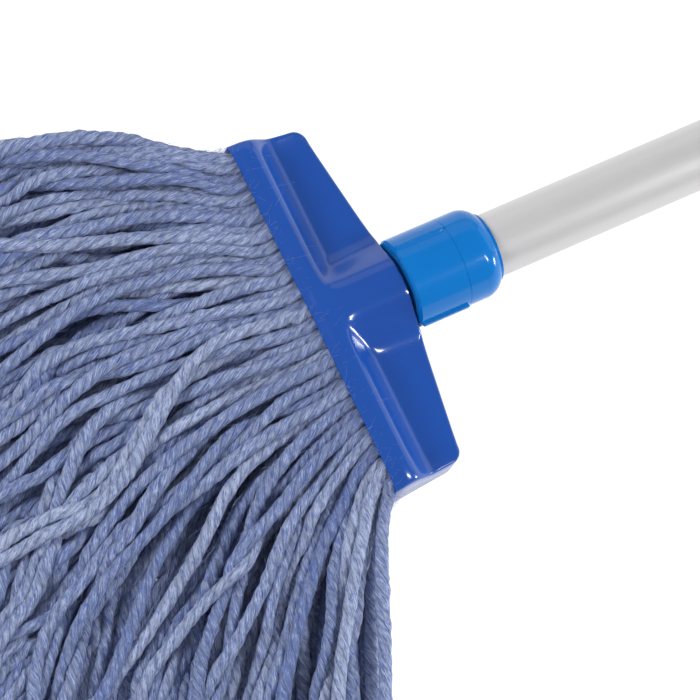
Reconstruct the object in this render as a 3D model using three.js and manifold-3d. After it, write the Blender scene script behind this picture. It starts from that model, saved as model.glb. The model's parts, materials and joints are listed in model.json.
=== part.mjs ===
// String mop laid on the floor: a pressed steel yarn clip with a screw collar,
// an aluminium handle and a swept fan of cotton yarn.
//
// Millimetres, +Z up, floor at z = 0. The origin is on the floor under the yarn.
// The clip and the handle are modelled along their own +X axis, with x = 0 at the
// clip's mouth, and are then laid down so that the handle's end cap meets the floor.

import * as THREE from "three";
import { mergeVertices } from "three/addons/utils/BufferGeometryUtils.js";
import Module from "manifold-3d";

const wasm = await Module();
wasm.setup();

// ---------------------------------------------------------------- driving dimensions

const GAP = 0.3; // between faces that touch on the real mop
const RUNNING_GAP = 0.3; // radial clearance of screwed and sliding fits
const ROUND_SIDES = 48; // facets of the round parts
const SMALL_SIDES = 24; // facets of the wire and the pin
const ARC_STEPS = 6; // along the rounded ends
const PAST = 5; // cutting blocks run this far past what they cut

// Yarn clip
const MOUTH_WIDTH = 146;
const SHEET = 1.2; // steel thickness
const LIP_Z = 13; // outside of the front lip above the handle axis
const LIP_TUCK = 1.6; // the lip's edge turns in by this much
const LIP_DEPTH = 8.6; // flat band behind the mouth
const STEP_LENGTH = 8; // slope from the lip down to the wings
const LIP_ROLL = 0.4; // the lip falls by this much before the step
const STEP_ROLL = 1.4; // height of the two bends of the step
const WING_Z = -1.7; // outside of the wings
const CORNER_X = 31.5; // height of the wing ends
const CORNER_RADIUS = 4.5;
const END_LEAN = 3; // each wing end leans in by this much at the top
const NECK_X = 38.5; // height of the neck
const NECK_HALF = 19.9; // half width at the foot of the boss
const BOSS_TOP_HALF = 7; // half width of the boss's flat top
const BOSS_Z = 14.4; // top of the boss at the neck
const CROWN = 3; // rounding of the boss's two long edges
const BOSS_FALL = 1.2; // the boss's top falls by this much towards the lip
const HEM = 3; // width of the hem folded over the back plate
const BACK_BOSS_DEPTH = 2.2;
const BACK_BOSS_HALF = 15;

// Parts inside the clip
const WIRE_DIAMETER = 3.5;
const WIRE_X = 8;
const WIRE_Z = -1.5;
const WIRE_SIDE_GAP = 4; // from the wire's end to the clip's end wall
const FOLD_END_X = 15; // the folded yarn reaches this far into the clip
const YARN_GAP = 0.6; // yarn to sheet
const SOCKET_START_X = 16.2;
const SOCKET_WALL = 1.9;
const SOCKET_SETBACK = 0.8; // inside the neck's edge
const SOCKET_BACK_GAP = 0.2; // to the back plate

// Screw collar
const COLLAR_WALL = 4.9; // round the tube
const COLLAR_LENGTH = 37.8;
const COLLAR_SEAM = 21.6; // from the clip end to the seam
const COLLAR_EDGE = 0.8; // chamfer at the clip end
const COLLAR_SHOULDER = 8; // radius of the shoulder
const COLLAR_MOUTH_LAND = 0.8; // straight land round the tube
const COLLAR_FLOOR = 3; // web between the spigot and the tube's bore
const SPIGOT_WALL = 2.9;
const SPIGOT_LENGTH = 15;
const RIB_COUNT = 3;
const RIB_HEIGHT = 0.9;
const RIB_WIDTH = 2.2;
const RIB_LENGTH = 21;
const RIB_ANGLE = -36; // degrees from +Z towards -Y, first rib
const TRAVEL = 12; // how far the collar unscrews
const WASHER = 1.6; // thickness

// Handle
const TUBE_DIAMETER = 25;
const TUBE_WALL = 1.2;
const TUBE_LENGTH = 1350;
const TIP_FLANGE = 3.2;
const TIP_NOSE = 2.2;
const TIP_NOSE_TAPER = 3;
const TIP_SHOULDER = 2.5;
const PLUG_LENGTH = 26; // inside the tube
const PIN_DIAMETER = 3;
const PIN_INSET = 10; // from the tube's end
const CAP_WALL = 1.2; // skirt round the tube
const CAP_SKIRT = 26; // over the tube
const CAP_PLUG = 20; // inside the tube
const CAP_DOME = 12;
const TAB_LENGTH = 24;
const TAB_THICKNESS = 7;
const TAB_HALF = 10;
const HANG_HOLE = 9; // diameter

// Lay on the floor
const MOUTH_X = 60; // row X of the clip's mouth
const AXIS_HEIGHT = 27; // handle axis above the floor at the mouth

// Yarn
const LOCK_COUNT = 11;
const LOCK_GAP = 1; // between neighbouring locks
const STRAND_LENGTH = 320; // free length
const STATION_COUNT = 16; // sections along a lock
const FALL_HEADING = 66; // degrees from -X towards -Y that the strands settle to
const ROUTE_STEP = 1; // mm

// How the strands leave the mouth: [place across it, heading in degrees, degrees per mm
// that they turn towards the fall heading]
const FAN = [
  [-1, -44, 0.42],
  [-0.6, -34, 0.3],
  [-0.2, -17, 0.3],
  [0.1, -6, 0.3],
  [0.4, -2, 0.42],
  [0.7, 18, 0.5],
  [0.9, 40, 0.5],
  [1, 54, 0.5],
];

// Top and underside of the yarn above the floor: [distance from the mouth, height]
const PILE_TOP = [
  [0, 38],
  [14, 45],
  [32, 45],
  [60, 39],
  [100, 32],
  [150, 26],
  [220, 20],
  [STRAND_LENGTH, 13],
];
const PILE_FOOT = [
  [0, 14.5],
  [12, 8],
  [30, 0],
  [STRAND_LENGTH, 0],
];

// ---------------------------------------------------------------- derived dimensions

const HALF_MOUTH = MOUTH_WIDTH / 2;
const TUBE_RADIUS = TUBE_DIAMETER / 2;
const TUBE_BORE = TUBE_RADIUS - TUBE_WALL;
const SOCKET_END_X = NECK_X - SOCKET_SETBACK;
const SOCKET_RADIUS = BOSS_Z - BOSS_FALL - SHEET - GAP;
const BACK_PLATE_Z = -(SOCKET_RADIUS + SOCKET_BACK_GAP + SHEET); // outside of the back plate
const BACK_Z = BACK_PLATE_Z - GAP - SHEET; // outside of the hem behind the back plate
const SOCKET_BORE = SOCKET_RADIUS - SOCKET_WALL;
const SPIGOT_RADIUS = SOCKET_BORE - RUNNING_GAP;
const SPIGOT_BORE = SPIGOT_RADIUS - SPIGOT_WALL;
const SHAFT_RADIUS = SPIGOT_BORE - RUNNING_GAP;
const FLANGE_RADIUS = SPIGOT_RADIUS - RUNNING_GAP;
const COLLAR_X = NECK_X + GAP;
const SEAM_X = COLLAR_X + COLLAR_SEAM;
const COLLAR_END_X = COLLAR_X + COLLAR_LENGTH;
const COLLAR_BORE = TUBE_RADIUS + RUNNING_GAP;
const COLLAR_RADIUS = COLLAR_BORE + COLLAR_WALL;
const CAP_RADIUS = TUBE_RADIUS + GAP + CAP_WALL;
const SPIGOT_X = COLLAR_X - SPIGOT_LENGTH;
const BORE_X = COLLAR_X + COLLAR_FLOOR;
const WASHER_X = SPIGOT_X - GAP - WASHER;
const FLANGE_X = WASHER_X - GAP - TIP_FLANGE;
const SHOULDER_X = BORE_X + TRAVEL + GAP;
const TUBE_X = SHOULDER_X + TIP_SHOULDER + GAP;
const TUBE_END_X = TUBE_X + TUBE_LENGTH;
const CAP_END_X = TUBE_END_X + GAP + CAP_DOME + TAB_LENGTH;
const LAY_ANGLE = Math.asin((AXIS_HEIGHT - CAP_RADIUS) / (TUBE_END_X - CAP_SKIRT / 2));

// ---------------------------------------------------------------- solids

function mergedGeometry(geometry) {
  const bare = geometry.index ? geometry.toNonIndexed() : geometry.clone();
  for (const name of Object.keys(bare.attributes)) {
    if (name !== "position") bare.deleteAttribute(name);
  }
  return mergeVertices(bare, 1e-4);
}

function solid(geometry) {
  const merged = mergedGeometry(geometry);
  const index = merged.index.array;
  const triVerts = [];
  for (let i = 0; i < index.length; i += 3) {
    const [a, b, c] = [index[i], index[i + 1], index[i + 2]];
    if (a !== b && b !== c && c !== a) triVerts.push(a, b, c);
  }
  return new wasm.Manifold(
    new wasm.Mesh({
      numProp: 3,
      vertProperties: new Float32Array(merged.attributes.position.array),
      triVerts: new Uint32Array(triVerts),
    }),
  );
}

function geometryOf(manifold) {
  const mesh = manifold.getMesh();
  const geometry = new THREE.BufferGeometry();
  geometry.setAttribute("position", new THREE.BufferAttribute(mesh.vertProperties, 3));
  geometry.setIndex(new THREE.BufferAttribute(mesh.triVerts, 1));
  geometry.computeVertexNormals();
  return geometry;
}

function outline(points) {
  return new THREE.Shape(points.map(([a, b]) => new THREE.Vector2(a, b)));
}

function rectangle(half, bottom, top) {
  return outline([[-half, bottom], [half, bottom], [half, top], [-half, top]]);
}

// Outline axes and extrusion direction: XY along Z, XZ along -Y, YZ along X
const PLANES = {
  XY: [[1, 0, 0], [0, 1, 0], [0, 0, 1]],
  XZ: [[1, 0, 0], [0, 0, 1], [0, -1, 0]],
  YZ: [[0, 1, 0], [0, 0, 1], [1, 0, 0]],
};

function prism(plane, shape, from, to) {
  const axes = PLANES[plane].map((axis) => new THREE.Vector3(...axis));
  const geometry = new THREE.ExtrudeGeometry(shape, {
    depth: to - from,
    bevelEnabled: false,
    curveSegments: 8,
  });
  geometry.translate(0, 0, from);
  return geometry.applyMatrix4(new THREE.Matrix4().makeBasis(...axes));
}

// Profile of [x, radius] points turned about the handle axis, listed either way round
function turned(profile, sides = ROUND_SIDES) {
  const points = profile.map(([x, radius]) => new THREE.Vector2(radius, x));
  if (THREE.ShapeUtils.area(points) < 0) points.reverse();
  const geometry = new THREE.LatheGeometry(points, sides);
  return geometry.rotateZ(-Math.PI / 2);
}

function ring(x0, x1, inner, outer, sides = ROUND_SIDES) {
  return turned([[x0, inner], [x0, outer], [x1, outer], [x1, inner], [x0, inner]], sides);
}

// ---------------------------------------------------------------- yarn clip

// Half width of the clip's ends at height x
function endHalf(x) {
  return HALF_MOUTH - (END_LEAN * x) / CORNER_X;
}

// Plan outline, drawn in by an inset, with the mouth edge moved to mouthX
function planOutline(inset, mouthX) {
  const radius = Math.max(CORNER_RADIUS - inset, 0.5);
  const slope = Math.atan2(NECK_X - CORNER_X, endHalf(CORNER_X) - NECK_HALF);
  const drop = inset / Math.cos(slope);
  const topAt = (y) => CORNER_X - drop + Math.tan(slope) * (endHalf(CORNER_X) - y);
  const cornerY = endHalf(CORNER_X) - inset;
  const cornerX = topAt(cornerY);
  const along = [Math.sin(slope), -Math.cos(slope)];
  const neckTop = topAt(NECK_HALF);
  const path = new THREE.Shape();
  path.moveTo(mouthX, -(endHalf(mouthX) - inset));
  path.lineTo(cornerX - radius, -(endHalf(cornerX - radius) - inset));
  path.quadraticCurveTo(cornerX, -cornerY, cornerX + along[0] * radius, -(cornerY + along[1] * radius));
  path.lineTo(neckTop, -NECK_HALF);
  path.lineTo(neckTop, NECK_HALF);
  path.lineTo(cornerX + along[0] * radius, cornerY + along[1] * radius);
  path.quadraticCurveTo(cornerX, cornerY, cornerX - radius, endHalf(cornerX - radius) - inset);
  path.lineTo(mouthX, endHalf(mouthX) - inset);
  return path;
}

// Outside of the front plate along x: tucked lip, step and wing
function frontProfile() {
  const wingX = LIP_DEPTH + STEP_LENGTH;
  const step = new THREE.CubicBezierCurve(
    new THREE.Vector2(LIP_DEPTH, LIP_Z - LIP_ROLL),
    new THREE.Vector2(LIP_DEPTH + STEP_LENGTH * 0.4, LIP_Z - STEP_ROLL),
    new THREE.Vector2(wingX - STEP_LENGTH * 0.5, WING_Z + LIP_ROLL),
    new THREE.Vector2(wingX, WING_Z),
  );
  return [
    new THREE.Vector2(0, LIP_Z - LIP_TUCK),
    new THREE.Vector2(LIP_DEPTH * 0.4, LIP_Z - LIP_ROLL / 2),
    new THREE.Vector2(LIP_DEPTH * 0.65, LIP_Z),
    ...step.getPoints(8),
    new THREE.Vector2(NECK_X, WING_Z),
  ];
}

// The profile moved square to itself, into the clip
function movedIn(points, distance) {
  return points.map((point, i) => {
    const before = points[Math.max(i - 1, 0)];
    const after = points[Math.min(i + 1, points.length - 1)];
    const direction = after.clone().sub(before).normalize();
    return [point.x + direction.y * distance, point.y - direction.x * distance];
  });
}

// Everything under the wing profile, between the floor of the clip and the front
function wingBlock(inset, x0, x1, bottom, halfWidth) {
  const top = movedIn(frontProfile(), inset);
  top[0][0] = x0;
  top[top.length - 1][0] = x1;
  const shape = outline([[x0, bottom], [x1, bottom], ...top.reverse()]);
  return solid(prism("XZ", shape, -halfWidth, halfWidth));
}

// The raised boss from the lip to the neck, drawn in by an inset
function bossBlock(inset, x0, x1, bottom) {
  const flank = Math.atan2(BOSS_Z - WING_Z, NECK_HALF - BOSS_TOP_HALF);
  const side = inset / Math.sin(flank) - inset / Math.tan(flank);
  const topHalf = BOSS_TOP_HALF - side;
  const footHalf = NECK_HALF - inset / Math.sin(flank);
  const crown = new THREE.QuadraticBezierCurve(
    new THREE.Vector2(topHalf + CROWN * Math.cos(flank), BOSS_Z - inset - CROWN * Math.sin(flank)),
    new THREE.Vector2(topHalf, BOSS_Z - inset),
    new THREE.Vector2(topHalf - CROWN, BOSS_Z - inset),
  );
  const edge = crown.getPoints(4).map((p) => [p.x, p.y]);
  const shape = outline([
    [-footHalf, bottom],
    [footHalf, bottom],
    [footHalf, WING_Z],
    ...edge,
    ...edge.map(([y, z]) => [-y, z]).reverse(),
    [-footHalf, WING_Z],
  ]);
  const geometry = prism("YZ", shape, x0 - NECK_X, x1 - NECK_X);
  const shear = BOSS_FALL / (NECK_X - LIP_DEPTH);
  const tilt = new THREE.Matrix4().makeShear(0, shear, 0, 0, 0, 0);
  return solid(geometry.applyMatrix4(tilt).translate(NECK_X, 0, 0));
}

function clipFront() {
  const wide = HALF_MOUTH + PAST;
  const outside = wingBlock(0, 0, NECK_X, BACK_Z, wide)
    .add(bossBlock(0, LIP_DEPTH * 0.5, NECK_X, BACK_Z))
    .intersect(solid(prism("XY", planOutline(0, 0), BACK_Z, LIP_Z + PAST)));
  const inner = wingBlock(SHEET, -PAST, NECK_X + PAST, BACK_Z + SHEET, wide)
    .intersect(solid(prism("XY", planOutline(SHEET, -PAST), BACK_Z, LIP_Z + PAST)));
  const throat = bossBlock(SHEET, -PAST, NECK_X + PAST, BACK_Z + SHEET);
  const window = solid(prism("XY", planOutline(SHEET + HEM, -PAST), BACK_Z - PAST, BACK_Z + PAST));
  const neck = rectangle(NECK_HALF - SHEET, BACK_Z - PAST, BACK_Z + PAST);
  const neckWindow = solid(prism("YZ", neck, NECK_X / 2, NECK_X + PAST));
  return geometryOf(outside.subtract(inner).subtract(throat).subtract(window).subtract(neckWindow));
}

function clipBack() {
  const inset = SHEET + GAP;
  const z = BACK_PLATE_Z;
  const above = z + SHEET + PAST;
  const plate = solid(prism("XY", planOutline(inset, 0), z, z + SHEET));
  const trough = (grow, depth) => {
    const top = BACK_BOSS_HALF + grow;
    const foot = top - BACK_BOSS_DEPTH;
    const shape = outline([
      [-foot, z - depth],
      [foot, z - depth],
      [top, z + grow],
      [top, above],
      [-top, above],
      [-top, z + grow],
    ]);
    return solid(prism("YZ", shape, FOLD_END_X + GAP, NECK_X - inset));
  };
  const opened = plate.subtract(trough(0, BACK_BOSS_DEPTH - SHEET));
  const box = solid(prism("YZ", rectangle(HALF_MOUTH, z - PAST, z + SHEET), 0, NECK_X));
  const bowl = trough(SHEET, BACK_BOSS_DEPTH)
    .subtract(trough(0, BACK_BOSS_DEPTH - SHEET))
    .intersect(box);
  return geometryOf(opened.add(bowl));
}

function wireHalf() {
  return endHalf(WIRE_X) - SHEET - WIRE_SIDE_GAP;
}

function crossWire(radius, half) {
  const geometry = new THREE.CylinderGeometry(radius, radius, 2 * half, SMALL_SIDES);
  return geometry.translate(WIRE_X, 0, WIRE_Z);
}

function yarnFold() {
  const inset = SHEET + YARN_GAP;
  const bottom = BACK_PLATE_Z + SHEET + YARN_GAP;
  const reach = rectangle(HALF_MOUTH, BACK_Z, LIP_Z);
  const block = wingBlock(inset, 0, NECK_X, bottom, HALF_MOUTH)
    .intersect(solid(prism("XY", planOutline(inset, 0), BACK_Z, LIP_Z)))
    .intersect(solid(prism("YZ", reach, GAP, FOLD_END_X)));
  const tunnel = solid(crossWire(WIRE_DIAMETER / 2 + GAP, HALF_MOUTH + PAST));
  return geometryOf(block.subtract(tunnel));
}

// ---------------------------------------------------------------- screw collar

function collarNut() {
  const body = solid(turned([
    [COLLAR_X, SPIGOT_RADIUS],
    [SPIGOT_X, SPIGOT_RADIUS],
    [SPIGOT_X, SPIGOT_BORE],
    [BORE_X, SPIGOT_BORE],
    [BORE_X, COLLAR_BORE],
    [SEAM_X, COLLAR_BORE],
    [SEAM_X, COLLAR_RADIUS],
    [COLLAR_X + COLLAR_EDGE, COLLAR_RADIUS],
    [COLLAR_X, COLLAR_RADIUS - COLLAR_EDGE],
    [COLLAR_X, SPIGOT_RADIUS],
  ]));
  const half = RIB_WIDTH / 2;
  const start = COLLAR_X + COLLAR_EDGE;
  const shape = new THREE.Shape();
  shape.moveTo(start + half, -half);
  shape.lineTo(start + RIB_LENGTH - half - COLLAR_EDGE, -half);
  shape.absarc(start + RIB_LENGTH - half - COLLAR_EDGE, 0, half, -Math.PI / 2, Math.PI / 2, false);
  shape.lineTo(start + half, half);
  shape.absarc(start + half, 0, half, Math.PI / 2, (3 * Math.PI) / 2, false);
  let nut = body;
  for (let i = 0; i < RIB_COUNT; i++) {
    const angle = THREE.MathUtils.degToRad(RIB_ANGLE + (i * 360) / RIB_COUNT);
    const rib = prism("XY", shape, COLLAR_RADIUS - RIB_HEIGHT, COLLAR_RADIUS + RIB_HEIGHT);
    nut = nut.add(solid(rib.rotateX(angle)));
  }
  return geometryOf(nut);
}

function collarCap() {
  const land = COLLAR_BORE + COLLAR_MOUTH_LAND;
  const sweep = Math.acos(1 - (COLLAR_RADIUS - land) / COLLAR_SHOULDER);
  const arcX = COLLAR_END_X - COLLAR_SHOULDER;
  const profile = [[SEAM_X + GAP, COLLAR_BORE], [SEAM_X + GAP, COLLAR_RADIUS]];
  for (let i = 0; i <= ARC_STEPS; i++) {
    const angle = (i / ARC_STEPS) * sweep;
    const radius = COLLAR_RADIUS - COLLAR_SHOULDER * (1 - Math.cos(angle));
    profile.push([arcX + COLLAR_SHOULDER * Math.sin(angle), radius]);
  }
  profile.push([COLLAR_END_X, land], [COLLAR_END_X, COLLAR_BORE], [SEAM_X + GAP, COLLAR_BORE]);
  return turned(profile);
}

// ---------------------------------------------------------------- handle

function handlePin(radius, half) {
  const geometry = new THREE.CylinderGeometry(radius, radius, 2 * half, SMALL_SIDES);
  return geometry.translate(TUBE_X + PIN_INSET, 0, 0);
}

function tipPlug() {
  const plug = TUBE_BORE - GAP;
  const noseX = FLANGE_X - TIP_NOSE;
  const body = solid(turned([
    [noseX, 0],
    [noseX, FLANGE_RADIUS - TIP_NOSE_TAPER],
    [FLANGE_X, FLANGE_RADIUS],
    [FLANGE_X + TIP_FLANGE, FLANGE_RADIUS],
    [FLANGE_X + TIP_FLANGE, SHAFT_RADIUS],
    [SHOULDER_X, SHAFT_RADIUS],
    [SHOULDER_X, TUBE_RADIUS],
    [SHOULDER_X + TIP_SHOULDER, TUBE_RADIUS],
    [SHOULDER_X + TIP_SHOULDER, plug],
    [TUBE_X + PLUG_LENGTH, plug],
    [TUBE_X + PLUG_LENGTH, 0],
  ]));
  return geometryOf(body.subtract(solid(handlePin(PIN_DIAMETER / 2 + GAP, TUBE_DIAMETER))));
}

function handleTube() {
  const tube = solid(ring(TUBE_X, TUBE_END_X, TUBE_BORE, TUBE_RADIUS));
  return geometryOf(tube.subtract(solid(handlePin(PIN_DIAMETER / 2 + GAP, TUBE_DIAMETER))));
}

function endCap() {
  const sleeve = TUBE_RADIUS + GAP;
  const plug = TUBE_BORE - GAP;
  const faceX = TUBE_END_X + GAP;
  const profile = [
    [faceX, 0],
    [TUBE_END_X - CAP_PLUG, 0],
    [TUBE_END_X - CAP_PLUG, plug],
    [faceX, plug],
    [faceX, sleeve],
    [TUBE_END_X - CAP_SKIRT, sleeve],
    [TUBE_END_X - CAP_SKIRT, CAP_RADIUS],
  ];
  for (let i = 0; i <= ARC_STEPS; i++) {
    const angle = (i / ARC_STEPS) * (Math.PI / 2);
    profile.push([faceX + CAP_DOME * Math.sin(angle), CAP_RADIUS * Math.cos(angle)]);
  }
  const body = solid(turned(profile.slice(1)));
  const hang = faceX + CAP_DOME + TAB_LENGTH - TAB_HALF;
  const tab = new THREE.Shape();
  tab.moveTo(faceX, -TAB_HALF);
  tab.lineTo(hang, -TAB_HALF);
  tab.absarc(hang, 0, TAB_HALF, -Math.PI / 2, Math.PI / 2, false);
  tab.lineTo(faceX, TAB_HALF);
  tab.closePath();
  const hole = new THREE.Path();
  hole.absarc(hang, 0, HANG_HOLE / 2, 0, 2 * Math.PI, true);
  tab.holes.push(hole);
  return geometryOf(body.add(solid(prism("XY", tab, -TAB_THICKNESS / 2, TAB_THICKNESS / 2))));
}

// ---------------------------------------------------------------- yarn

function between(table, at, column = 1) {
  let i = 1;
  while (i < table.length - 1 && table[i][0] < at) i++;
  const [low, high] = [table[i - 1], table[i]];
  const share = THREE.MathUtils.clamp((at - low[0]) / (high[0] - low[0]), 0, 1);
  return low[column] + (high[column] - low[column]) * share;
}

// Plan route of the strand that leaves the mouth at place across it (-1 to 1)
function route(place) {
  const settle = FALL_HEADING - between(FAN, place, 1);
  const rate = between(FAN, place, 2) / settle;
  const points = [new THREE.Vector2(-GAP, -place * (HALF_MOUTH - SHEET))];
  for (let s = 0; s < STRAND_LENGTH; s += ROUTE_STEP) {
    const heading = THREE.MathUtils.degToRad(FALL_HEADING - settle * Math.exp(-rate * s));
    const last = points[points.length - 1];
    points.push(new THREE.Vector2(
      last.x - ROUTE_STEP * Math.cos(heading),
      last.y - ROUTE_STEP * Math.sin(heading),
    ));
  }
  return points;
}

// A closed skin through rings of the same number of corners
function loft(rings) {
  const corners = rings[0].length;
  const positions = rings.flat().flatMap((p) => [p.x, p.y, p.z]);
  const index = [];
  for (let r = 0; r < rings.length - 1; r++) {
    for (let c = 0; c < corners; c++) {
      const a = r * corners + c;
      const b = r * corners + ((c + 1) % corners);
      index.push(a, b, b + corners, a, b + corners, a + corners);
    }
  }
  const last = (rings.length - 1) * corners;
  for (let c = 1; c < corners - 1; c++) {
    index.push(0, c + 1, c);
    index.push(last, last + c, last + c + 1);
  }
  const geometry = new THREE.BufferGeometry();
  geometry.setAttribute("position", new THREE.Float32BufferAttribute(positions, 3));
  geometry.setIndex(index);
  geometry.computeVertexNormals();
  return geometry;
}

// One lock of yarn between two strand routes, flat where it lies on the floor
function yarnLock(placeA, placeB) {
  const routeA = route(placeA);
  const routeB = route(placeB);
  const rings = [];
  for (let i = 0; i < STATION_COUNT; i++) {
    const share = i / (STATION_COUNT - 1);
    const s = Math.round(STRAND_LENGTH * share ** 1.3);
    const a = routeA[s];
    const b = routeB[s];
    const across = b.clone().sub(a).normalize().multiplyScalar(LOCK_GAP / 2);
    const sideA = a.clone().add(across);
    const sideB = b.clone().sub(across);
    const foot = between(PILE_FOOT, s);
    const top = between(PILE_TOP, s);
    const round = Math.min((top - foot) * 0.25, sideA.distanceTo(sideB) * 0.3);
    const inward = across.clone().normalize().multiplyScalar(round);
    const corner = (p, z) => new THREE.Vector3(p.x, p.y, z);
    rings.push([
      corner(sideA, foot),
      corner(sideB, foot),
      corner(sideB, top - round),
      corner(sideB.clone().sub(inward), top),
      corner(sideA.clone().add(inward), top),
      corner(sideA, top - round),
    ]);
  }
  return loft(rings);
}

// ---------------------------------------------------------------- assembly

const FINISH = {
  paint: { color: 0x2552a8, roughness: 0.22, metalness: 0 },
  steel: { color: 0xb9bcc0, roughness: 0.35, metalness: 1 },
  collar: { color: 0x0078d0, roughness: 0.28, metalness: 0 },
  nylon: { color: 0xe6e6e0, roughness: 0.45, metalness: 0 },
  aluminium: { color: 0xcfd0d0, roughness: 0.38, metalness: 1 },
  cap: { color: 0x1f5fb8, roughness: 0.4, metalness: 0 },
  yarn: { color: 0x8792bd, roughness: 0.95, metalness: 0 },
};

function part(name, geometry, finish) {
  const mesh = new THREE.Mesh(geometry, new THREE.MeshStandardMaterial(FINISH[finish]));
  mesh.name = name;
  return mesh;
}

const laid = new THREE.Group();
laid.position.set(0, 0, AXIS_HEIGHT);
laid.rotation.y = LAY_ANGLE;
laid.add(
  part("clip_front", clipFront(), "paint"),
  part("clip_back", clipBack(), "paint"),
  part("cross_wire", crossWire(WIRE_DIAMETER / 2, wireHalf()), "steel"),
  part("yarn_fold", yarnFold(), "yarn"),
  part("socket_insert", ring(SOCKET_START_X, SOCKET_END_X, SOCKET_BORE, SOCKET_RADIUS), "nylon"),
  part("collar_nut", collarNut(), "collar"),
  part("collar_cap", collarCap(), "collar"),
  part("thrust_washer", ring(WASHER_X, WASHER_X + WASHER, SPIGOT_BORE, FLANGE_RADIUS), "nylon"),
  part("tip_plug", tipPlug(), "nylon"),
  part("lock_pin", handlePin(PIN_DIAMETER / 2, TUBE_RADIUS - GAP), "steel"),
  part("handle_tube", handleTube(), "aluminium"),
  part("end_cap", endCap(), "cap"),
);

const mop = new THREE.Group();
mop.position.x = MOUTH_X;
mop.add(laid);
for (let i = 0; i < LOCK_COUNT; i++) {
  const from = -1 + (2 * i) / LOCK_COUNT;
  const to = -1 + (2 * (i + 1)) / LOCK_COUNT;
  mop.add(part(`yarn_lock_${i + 1}`, yarnLock(from, to), "yarn"));
}

const model = new THREE.Group();
model.add(mop);

export default model;
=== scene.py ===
"""String mop laid on the floor: a blue enamelled clip, a screw collar, an aluminium
handle and a swept fan of twisted cotton yarn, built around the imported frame."""

import json
import math

import bmesh
import bpy
import numpy as np
from bpy.props import FloatProperty, FloatVectorProperty, IntProperty, PointerProperty
from mathutils import Matrix, Vector
from mathutils.kdtree import KDTree


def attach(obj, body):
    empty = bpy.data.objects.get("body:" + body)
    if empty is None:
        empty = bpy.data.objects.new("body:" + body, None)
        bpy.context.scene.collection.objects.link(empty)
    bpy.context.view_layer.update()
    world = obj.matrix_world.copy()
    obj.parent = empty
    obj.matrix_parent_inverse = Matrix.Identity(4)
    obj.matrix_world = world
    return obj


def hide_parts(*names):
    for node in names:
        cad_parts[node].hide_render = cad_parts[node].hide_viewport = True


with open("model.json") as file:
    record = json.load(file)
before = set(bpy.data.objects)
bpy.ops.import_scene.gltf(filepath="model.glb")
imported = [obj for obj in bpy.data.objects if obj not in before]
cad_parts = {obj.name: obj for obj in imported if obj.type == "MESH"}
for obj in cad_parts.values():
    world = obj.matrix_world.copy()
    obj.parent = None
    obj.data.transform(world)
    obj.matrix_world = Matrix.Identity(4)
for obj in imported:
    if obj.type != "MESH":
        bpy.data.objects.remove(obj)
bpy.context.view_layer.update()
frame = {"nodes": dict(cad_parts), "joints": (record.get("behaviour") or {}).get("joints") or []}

bl_info = {
    "name": "String Mop",
    "version": (1, 0, 0),
    "blender": (4, 5, 0),
    "location": "View3D > Sidebar > Mop",
    "description": "Builds the looks of a string mop around its packed frame",
    "category": "Add Mesh",
}

MM = 0.001


# ---------------------------------------------------------------- the laid frame

JOINTS = {joint["name"]: joint for joint in frame["joints"]}
AXIS = Vector(JOINTS["collar_turn"]["axis"]).normalized()
ACROSS = Vector((0, 1, 0))
ABOVE = AXIS.cross(ACROSS)


def laid_matrix(origin):
    """The frame along the handle: X up the handle, Y across the clip, Z off the floor."""
    matrix = Matrix((AXIS, ACROSS, ABOVE)).transposed().to_4x4()
    matrix.translation = origin
    return matrix


def laid_box(node, matrix):
    """Lowest and highest corner of a CAD node in the laid frame."""
    inverse = matrix.inverted()
    points = np.array([inverse @ v.co for v in frame["nodes"][node].data.vertices])
    return Vector(points.min(0)), Vector(points.max(0))


ON_AXIS = Vector(JOINTS["collar_turn"]["pos_m"])
MOUTH = ON_AXIS + AXIS * laid_box("clip_front", laid_matrix(ON_AXIS))[0].x
LAID = laid_matrix(MOUTH)

CLIP_LOW, CLIP_HIGH = laid_box("clip_front", LAID)
NUT_LOW, NUT_HIGH = laid_box("collar_nut", LAID)
CAP_HIGH = laid_box("collar_cap", LAID)[1]
TUBE_LOW, TUBE_HIGH = laid_box("handle_tube", LAID)
END_HIGH = laid_box("end_cap", LAID)[1]

HALF_MOUTH = CLIP_HIGH.y
NECK_X = CLIP_HIGH.x
BACK_Z = CLIP_LOW.z
BOSS_Z = CLIP_HIGH.z
COLLAR_RADIUS = CAP_HIGH.y
TUBE_RADIUS = TUBE_HIGH.y
CAP_RADIUS = END_HIGH.y

# Details of the clip that the frame's box doesn't give
SHEET = 1.2 * MM
GAP = 0.3 * MM  # between faces that touch, and round what slides or turns
LIP_Z = 13 * MM
LIP_TUCK = 1.6 * MM
LIP_DEPTH = 8.6 * MM
STEP_LENGTH = 8 * MM
WING_Z = -1.7 * MM
CORNER_X = 31.5 * MM
CORNER_RADIUS = 4.5 * MM
END_LEAN = 3 * MM
NECK_HALF = 19.9 * MM
BOSS_TOP_HALF = 7 * MM
BOSS_FALL = 1.2 * MM
FOLD_DEPTH = 10 * MM  # of the folded sides, before they are pressed down to the hem
BEND_RADIUS = 1.3 * MM  # of the folded edges
BOSS_CROWN = 4.5 * MM  # rounding along the top of the boss
BOSS_ROOT = 5 * MM  # rounding where the boss meets the plate
BOSS_RUN = 12 * MM  # behind the lip, over which the boss may rise to its full height
BOSS_BROW = 0.8 * MM  # rounding where that limit cuts in
STEP_START = LIP_DEPTH + 0.5 * MM
STEP_ROUND = 0.3  # rounding of the step's two bends, as a share of its length
LIP_END_DROP = 2.6 * MM  # the lip is pressed down at its two ends
LIP_END_REACH = 7 * MM
WING_END_RISE = 3 * MM  # and the wings rise a little to meet it
WING_END_REACH = 11 * MM
NECK_HOLLOW = 1.5 * MM  # the neck's rim is cut back by this much at its middle
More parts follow.
